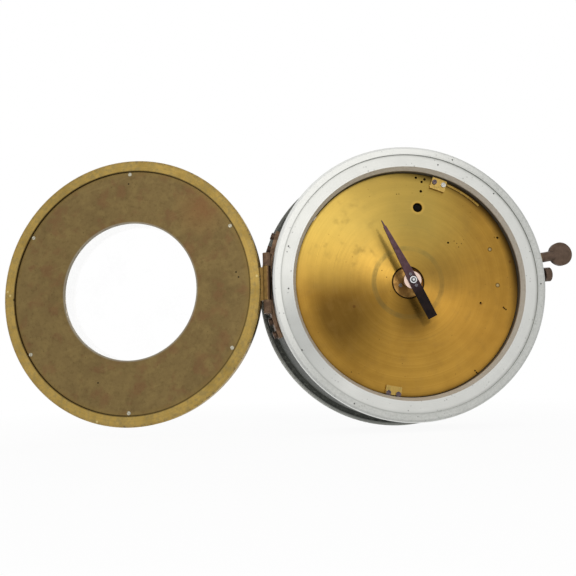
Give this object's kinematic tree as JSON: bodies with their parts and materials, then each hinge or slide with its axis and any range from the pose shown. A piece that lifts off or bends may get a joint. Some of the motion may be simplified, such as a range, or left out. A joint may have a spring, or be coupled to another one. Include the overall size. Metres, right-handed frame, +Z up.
{
  "type": "ship clock",
  "caption": "Bulkhead ship's clock with its hinged bezel and dial standing open, showing the brass plate, the sweep hand and the side key and push button.",
  "frame": {"origin": "centre of the flat back face that lies against the bulkhead", "axes": "+X to the right seen from the front, -Y forward out of the plate, +Z up the dial towards twelve"},
  "size_m": [0.503, 0.0765, 0.2492],
  "materials": {
    "case_metal": "turned and weathered, satin",
    "plate_brass": "turned, stained lacquer",
    "clamp_brass": "machined",
    "movement_brass": "machined",
    "dark_brass": "dull",
    "blued_steel": "blued",
    "steel": "polished",
    "hinge_bronze": "tarnished bronze",
    "door_leaf_brass": "tarnished",
    "bezel_brass": "speckled, worn",
    "dial_brass": "dull, blotchy back",
    "dial_screw_metal": "worn",
    "glass": "clear",
    "collet_metal": "satin",
    "hand_steel": "blued purple to black",
    "control_bronze": "dark patina"
  },
  "bodies": {
    "case": {"case": "case_metal", "front_plate": "plate_brass", "back_plate": "movement_brass", "pillars": "clamp_brass", "pillar_screws": "blued_steel", "top_clamp": "clamp_brass", "bottom_clamp": "clamp_brass", "clamp_screws": "blued_steel", "edge_spring": "clamp_brass", "centre_bridge": "dark_brass", "bridge_screws": "steel", "control_bracket": "clamp_brass", "bracket_screws": "steel", "case_leaf": "hinge_bronze", "leaf_screws": "hinge_bronze", "hinge_pin": "hinge_bronze", "key_bush": "hinge_bronze", "button_bush": "hinge_bronze", "button_spring": "steel", "click_screw": "blued_steel", "click_spring": "steel", "hairspring": "blued_steel", "hairspring_stud": "steel", "stop_lever_screw": "blued_steel"},
    "door": {"bezel_ring": "bezel_brass", "door_leaf": "door_leaf_brass", "door_leaf_screws": "door_leaf_brass", "dial_plate": "dial_brass", "dial_screws": "dial_screw_metal", "glass": "glass", "glass_spacer": "movement_brass"},
    "hand": {"centre_arbor": "steel", "centre_wheel": "movement_brass", "hand_collet": "collet_metal", "hand": "hand_steel", "hand_screws": "hand_steel", "hand_ring": "steel"},
    "barrel": {"barrel_drum": "movement_brass", "barrel_cover": "movement_brass", "mainspring": "steel"},
    "intermediate": {"inter_arbor": "steel", "inter_wheel": "movement_brass"},
    "third": {"third_arbor": "steel", "third_wheel": "movement_brass"},
    "escape": {"escape_arbor": "steel", "escape_wheel": "movement_brass"},
    "winding": {"barrel_arbor": "steel", "ratchet_wheel": "steel"},
    "click": {"click": "steel"},
    "lever": {"pallet_lever": "steel"},
    "balance": {"balance_staff": "steel", "balance_wheel": "movement_brass"},
    "key": {"thumb_key": "control_bronze", "key_collar": "control_bronze"},
    "stop": {"stop_lever": "steel"},
    "button": {"push_button": "control_bronze", "button_collar": "control_bronze"}
  },
  "joints": [
    {"name": "door_swing", "type": "hinge", "parent": "case", "child": "door", "pos_m": [-0.1212, -0.0675, 0.0004], "axis": [0, 0, 1], "range_deg": [0, 193]},
    {"name": "hand_turn", "type": "hinge", "parent": "case", "child": "hand", "pos_m": [0, 0, 0], "axis": [0, 1, 0], "continuous": true},
    {"name": "barrel_turn", "type": "hinge", "parent": "case", "child": "barrel", "pos_m": [0.01208, 0, 0.0658], "axis": [0, 1, 0], "continuous": true},
    {"name": "intermediate_turn", "type": "hinge", "parent": "case", "child": "intermediate", "pos_m": [0.00075, 0, 0.03374], "axis": [0, 1, 0], "continuous": true},
    {"name": "third_turn", "type": "hinge", "parent": "case", "child": "third", "pos_m": [0.02369, 0, -0.00224], "axis": [0, 1, 0], "continuous": true},
    {"name": "escape_turn", "type": "hinge", "parent": "case", "child": "escape", "pos_m": [0.04085, 0, 0.00066], "axis": [0, 1, 0], "continuous": true},
    {"name": "winding_turn", "type": "hinge", "parent": "case", "child": "winding", "pos_m": [0.01208, 0, 0.0658], "axis": [0, 1, 0], "continuous": true},
    {"name": "click_lift", "type": "hinge", "parent": "case", "child": "click", "pos_m": [-0.00341, 0, 0.06177], "axis": [0, -1, 0], "range_deg": [0, 8], "stiffness_Nm_per_rad": 0.01, "springref_deg": -5.73},
    {"name": "lever_rock", "type": "hinge", "parent": "case", "child": "lever", "pos_m": [0.05118, 0, 0.00186], "axis": [0, 1, 0], "range_deg": [-5, 5]},
    {"name": "balance_swing", "type": "hinge", "parent": "case", "child": "balance", "pos_m": [0.06529, 0, 0.00349], "axis": [0, 1, 0], "range_deg": [-135, 135], "stiffness_Nm_per_rad": 0.000077},
    {"name": "key_turn", "type": "hinge", "parent": "case", "child": "key", "pos_m": [0, -0.0515, 0], "axis": [0.9859, 0, 0.1676], "range_deg": [0, 90]},
    {"name": "stop_swing", "type": "hinge", "parent": "case", "child": "stop", "pos_m": [0.07887, 0, 0.01341], "axis": [0, -1, 0], "range_deg": [0, 15]},
    {"name": "button_press", "type": "slide", "parent": "case", "child": "button", "axis": [-0.9989, 0, -0.0466], "range_m": [0, 0.003], "stiffness_N_per_m": 2000, "springref_m": -0.001, "deforming": ["button_spring"]}
  ],
  "couplings": [
    {"joint": "intermediate_turn", "follows": "hand_turn", "ratio": -0.13636},
    {"joint": "barrel_turn", "follows": "hand_turn", "ratio": 0.023511},
    {"joint": "third_turn", "follows": "hand_turn", "ratio": -7.5},
    {"joint": "escape_turn", "follows": "hand_turn", "ratio": 46.875},
    {"joint": "stop_swing", "follows": "key_turn", "ratio": 0.16667}
  ]
}
